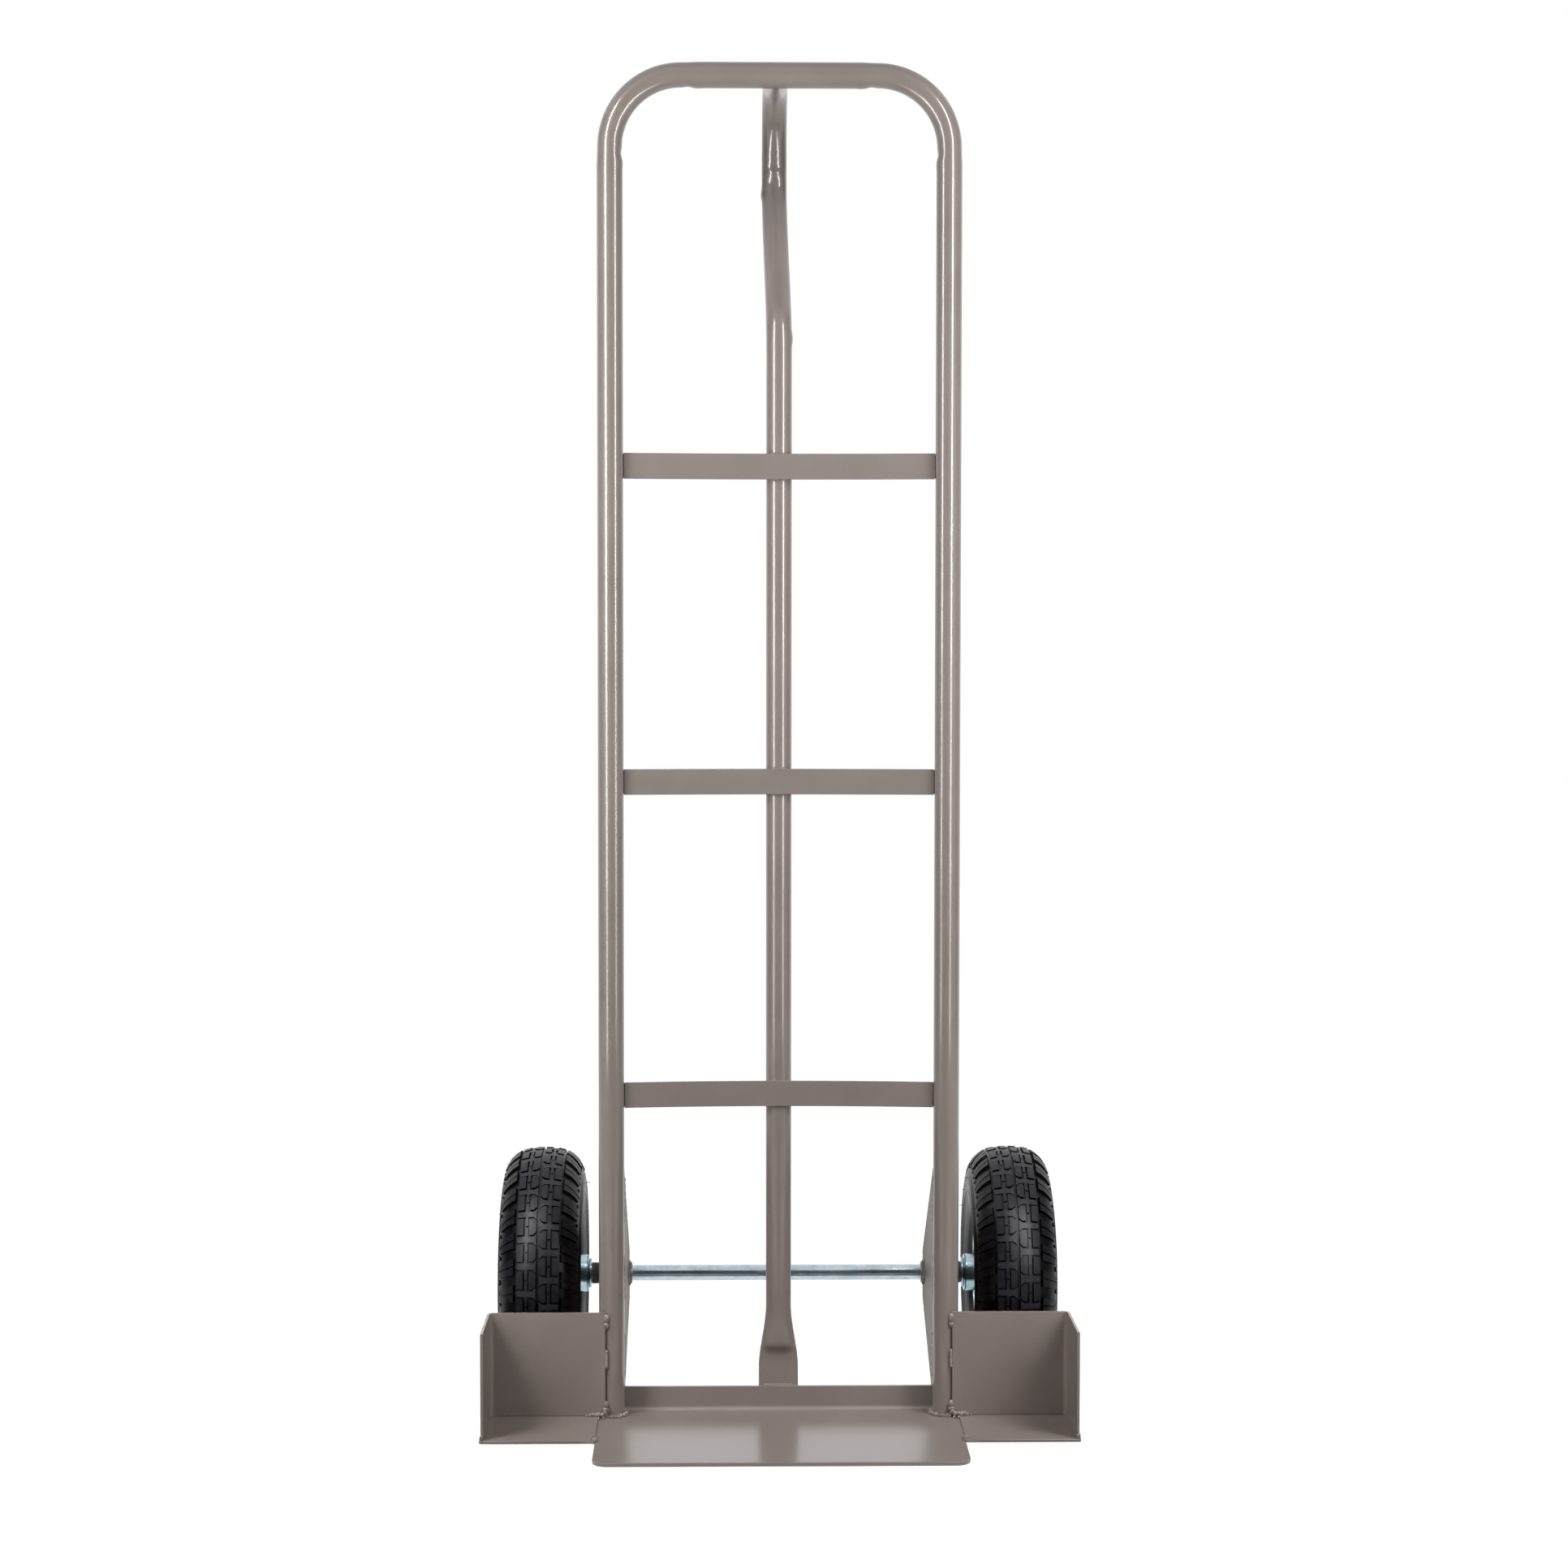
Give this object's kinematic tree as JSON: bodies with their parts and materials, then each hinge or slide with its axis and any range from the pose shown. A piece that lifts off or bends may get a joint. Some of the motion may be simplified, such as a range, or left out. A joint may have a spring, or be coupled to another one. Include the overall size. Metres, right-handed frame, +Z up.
{
  "type": "chair dolly",
  "caption": "Upright hand truck used as a chair dolly: hooped tube frame, P-handle, bowed cross straps, toe plate, side wings and pneumatic wheels on a fixed axle.",
  "frame": {"origin": "middle of the bounding box in plan, on the floor that the tyres and the toe plate's front edge stand on", "axes": "+Z up, -Y towards the front where the toe plate lies, +X to the right as the front view shows it"},
  "size_m": [0.581, 0.4482, 1.3497],
  "materials": {
    "powder_coat": "warm grey semi-gloss powder coat on steel",
    "zinc_plate": "blue-white zinc plate on steel",
    "bearing_steel": "ground bearing steel",
    "tyre_rubber": "moulded black tyre rubber with a slight sheen",
    "butyl_rubber": "matt black butyl rubber",
    "brass": "turned brass",
    "cap_plastic": "moulded black plastic"
  },
  "bodies": {
    "frame": {"outer_frame": "powder_coat", "centre_tube": "powder_coat", "bottom_strap": "powder_coat", "middle_strap": "powder_coat", "top_strap": "powder_coat", "toe_plate": "powder_coat", "axle": "zinc_plate", "left_wing_shell": "powder_coat", "left_wing_floor": "powder_coat", "left_gusset": "powder_coat", "left_axle_sleeve": "powder_coat", "left_inboard_washer": "zinc_plate", "left_outboard_washer": "zinc_plate", "left_split_pin": "zinc_plate", "left_inboard_inner_race": "bearing_steel", "left_outboard_inner_race": "bearing_steel", "left_hub_spacer": "bearing_steel", "right_wing_shell": "powder_coat", "right_wing_floor": "powder_coat", "right_gusset": "powder_coat", "right_axle_sleeve": "powder_coat", "right_inboard_washer": "zinc_plate", "right_outboard_washer": "zinc_plate", "right_split_pin": "zinc_plate", "right_inboard_inner_race": "bearing_steel", "right_outboard_inner_race": "bearing_steel", "right_hub_spacer": "bearing_steel"},
    "left_wheel": {"left_tyre": "tyre_rubber", "left_inner_tube": "butyl_rubber", "left_valve_stem": "brass", "left_valve_cap": "cap_plastic", "left_rim_inboard_half": "zinc_plate", "left_rim_outboard_half": "zinc_plate", "left_rim_bolt_1": "zinc_plate", "left_rim_bolt_2": "zinc_plate", "left_rim_bolt_3": "zinc_plate", "left_rim_bolt_4": "zinc_plate", "left_hub": "zinc_plate", "left_inboard_outer_race": "zinc_plate", "left_outboard_outer_race": "zinc_plate"},
    "right_wheel": {"right_tyre": "tyre_rubber", "right_inner_tube": "butyl_rubber", "right_valve_stem": "brass", "right_valve_cap": "cap_plastic", "right_rim_inboard_half": "zinc_plate", "right_rim_outboard_half": "zinc_plate", "right_rim_bolt_1": "zinc_plate", "right_rim_bolt_2": "zinc_plate", "right_rim_bolt_3": "zinc_plate", "right_rim_bolt_4": "zinc_plate", "right_hub": "zinc_plate", "right_inboard_outer_race": "zinc_plate", "right_outboard_outer_race": "zinc_plate"}
  },
  "joints": [
    {"name": "left_wheel_spin", "type": "hinge", "parent": "frame", "child": "left_wheel", "pos_m": [-0.2418, 0.09313, 0.131], "axis": [1, 0, 0], "continuous": true},
    {"name": "right_wheel_spin", "type": "hinge", "parent": "frame", "child": "right_wheel", "pos_m": [0.2418, 0.09313, 0.131], "axis": [1, 0, 0], "continuous": true}
  ]
}
